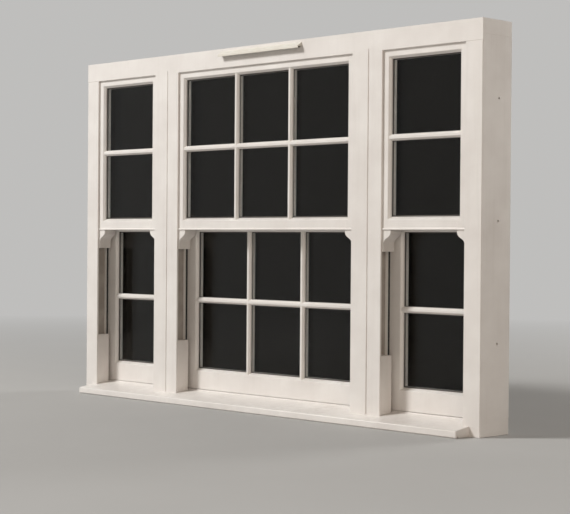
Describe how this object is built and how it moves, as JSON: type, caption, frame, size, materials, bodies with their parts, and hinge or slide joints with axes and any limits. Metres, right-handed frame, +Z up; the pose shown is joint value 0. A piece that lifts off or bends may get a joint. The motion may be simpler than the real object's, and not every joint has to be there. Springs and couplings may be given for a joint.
{
  "type": "sliding sash window",
  "caption": "Wide timber sliding sash window with a broad middle light, a narrow light on each side, horned sashes, glazing bars and a sloping sill.",
  "frame": {"origin": "middle of the sill's underside, in line with the outer faces of the linings", "axes": "+X to the right as seen from outside, +Y into the room, +Z up"},
  "size_m": [2.061, 0.226, 1.354],
  "materials": {
    "cream_paint": "brushed cream gloss paint on timber, lightly weathered",
    "glass": "clear float glass in sealed units",
    "vent_plastic": "cream moulded plastic",
    "tube_plastic": "off-white smooth plastic",
    "lock_metal": "polished plate"
  },
  "bodies": {
    "frame": {"sill": "cream_paint", "head": "cream_paint", "head_lining": "cream_paint", "head_beads": "cream_paint", "stop_blocks": "cream_paint", "jamb_left": "cream_paint", "jamb_right": "cream_paint", "mullion_left": "cream_paint", "mullion_right": "cream_paint", "jamb_lining_left": "cream_paint", "jamb_lining_right": "cream_paint", "mullion_linings_left": "cream_paint", "mullion_linings_right": "cream_paint", "jamb_beads_left": "cream_paint", "jamb_beads_right": "cream_paint", "mullion_beads_left": "cream_paint", "mullion_beads_right": "cream_paint", "vent_canopy": "vent_plastic", "balance_tubes": "tube_plastic"},
    "outer_left": {"outer_left_stiles": "cream_paint", "outer_left_rails": "cream_paint", "outer_left_bars": "cream_paint", "outer_left_glass": "glass", "keeper_left": "lock_metal"},
    "inner_left": {"inner_left_stiles": "cream_paint", "inner_left_rails": "cream_paint", "inner_left_bars": "cream_paint", "inner_left_glass": "glass", "lock_base_left": "lock_metal", "sash_lift_left": "lock_metal"},
    "lever_left": {"lock_lever_left": "lock_metal"},
    "outer_centre": {"outer_centre_stiles": "cream_paint", "outer_centre_rails": "cream_paint", "outer_centre_bars": "cream_paint", "outer_centre_glass": "glass", "keeper_centre": "lock_metal"},
    "inner_centre": {"inner_centre_stiles": "cream_paint", "inner_centre_rails": "cream_paint", "inner_centre_bars": "cream_paint", "inner_centre_glass": "glass", "lock_base_centre": "lock_metal", "sash_lift_centre": "lock_metal"},
    "lever_centre_1": {"lock_lever_centre_1": "lock_metal"},
    "lever_centre_2": {"lock_lever_centre_2": "lock_metal"},
    "outer_right": {"outer_right_stiles": "cream_paint", "outer_right_rails": "cream_paint", "outer_right_bars": "cream_paint", "outer_right_glass": "glass", "keeper_right": "lock_metal"},
    "inner_right": {"inner_right_stiles": "cream_paint", "inner_right_rails": "cream_paint", "inner_right_bars": "cream_paint", "inner_right_glass": "glass", "lock_base_right": "lock_metal", "sash_lift_right": "lock_metal"},
    "lever_right": {"lock_lever_right": "lock_metal"}
  },
  "joints": [
    {"name": "outer_left_slide", "type": "slide", "parent": "frame", "child": "outer_left", "axis": [0, 0, 1], "range_m": [-0.355, 0]},
    {"name": "inner_left_slide", "type": "slide", "parent": "frame", "child": "inner_left", "axis": [0, 0, 1], "range_m": [0, 0.5]},
    {"name": "outer_centre_slide", "type": "slide", "parent": "frame", "child": "outer_centre", "axis": [0, 0, 1], "range_m": [-0.355, 0]},
    {"name": "inner_centre_slide", "type": "slide", "parent": "frame", "child": "inner_centre", "axis": [0, 0, 1], "range_m": [0, 0.5]},
    {"name": "outer_right_slide", "type": "slide", "parent": "frame", "child": "outer_right", "axis": [0, 0, 1], "range_m": [-0.355, 0]},
    {"name": "inner_right_slide", "type": "slide", "parent": "frame", "child": "inner_right", "axis": [0, 0, 1], "range_m": [0, 0.5]},
    {"name": "lever_left_turn", "type": "hinge", "parent": "inner_left", "child": "lever_left", "pos_m": [-0.78, 0.094, 0.7203], "axis": [0, 0, 1], "range_deg": [-90, 0]},
    {"name": "lever_centre_1_turn", "type": "hinge", "parent": "inner_centre", "child": "lever_centre_1", "pos_m": [-0.274, 0.094, 0.7203], "axis": [0, 0, 1], "range_deg": [-90, 0]},
    {"name": "lever_centre_2_turn", "type": "hinge", "parent": "inner_centre", "child": "lever_centre_2", "pos_m": [0.274, 0.094, 0.7203], "axis": [0, 0, 1], "range_deg": [-90, 0]},
    {"name": "lever_right_turn", "type": "hinge", "parent": "inner_right", "child": "lever_right", "pos_m": [0.78, 0.094, 0.7203], "axis": [0, 0, 1], "range_deg": [-90, 0]}
  ]
}
